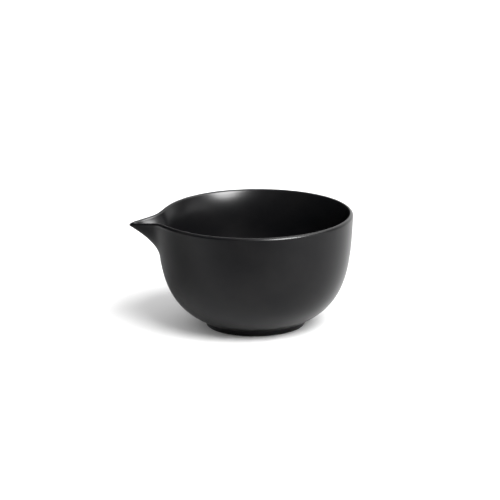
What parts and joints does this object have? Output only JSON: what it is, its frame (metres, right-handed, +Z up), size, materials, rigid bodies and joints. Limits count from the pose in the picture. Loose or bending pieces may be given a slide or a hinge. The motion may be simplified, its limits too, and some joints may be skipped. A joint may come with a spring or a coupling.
{
  "type": "mortar and pestle",
  "caption": "Round stoneware mortar bowl with a thin rounded lip, a pulled pouring spout and a low foot ring, with a short one-piece pestle lying inside.",
  "frame": {"origin": "on the surface that the foot stands on, under the middle of the object's box; the bowl's own turning axis is vertical, 9.56 mm from it towards +X", "axes": "+Z up; the pouring spout points along -X; +Y is the far side when the spout is on the left"},
  "size_m": [0.1592, 0.14, 0.081],
  "materials": {
    "black_glaze": "satin black glaze",
    "black_bisque": "matte black, unglazed at the grinding end"
  },
  "bodies": {
    "bowl": {"mortar_bowl": "black_glaze"},
    "pestle": {"pestle": "black_bisque"}
  },
  "joints": [
    {"name": "pestle_lift", "type": "slide", "parent": "bowl", "child": "pestle", "axis": [0, 0, 1], "range_m": [0, 0.09]}
  ]
}
